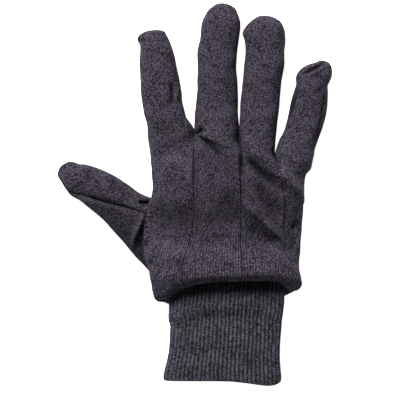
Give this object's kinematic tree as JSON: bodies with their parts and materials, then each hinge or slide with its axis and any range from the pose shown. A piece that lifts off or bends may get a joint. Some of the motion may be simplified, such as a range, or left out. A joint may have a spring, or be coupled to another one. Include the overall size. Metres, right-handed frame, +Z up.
{
  "type": "cotton work glove",
  "caption": "Hollow right-hand cotton jersey work glove lying palm down, with seamed back strips, spread fingers, a sewn-on thumb and an open ribbed knit wrist.",
  "frame": {"origin": "on the surface the glove lies on, under the middle of its bounding box", "axes": "+Y from the wrist to the fingertips, +X across the hand from the thumb side to the little finger side, +Z up through the back of the hand"},
  "size_m": [0.1874, 0.2584, 0.0325],
  "materials": {
    "jersey": "soft melange cotton jersey, charcoal brown with fine plum and pale grey flecks",
    "rib_knit": "narrow rib knit, dark grey with pale flecks"
  },
  "bodies": {
    "root": {"palm": "jersey", "back_index": "jersey", "back_middle": "jersey", "back_ring": "jersey", "back_little": "jersey", "thumb_back": "jersey", "thumb_front": "jersey", "knit_wrist": "rib_knit"}
  },
  "joints": []
}
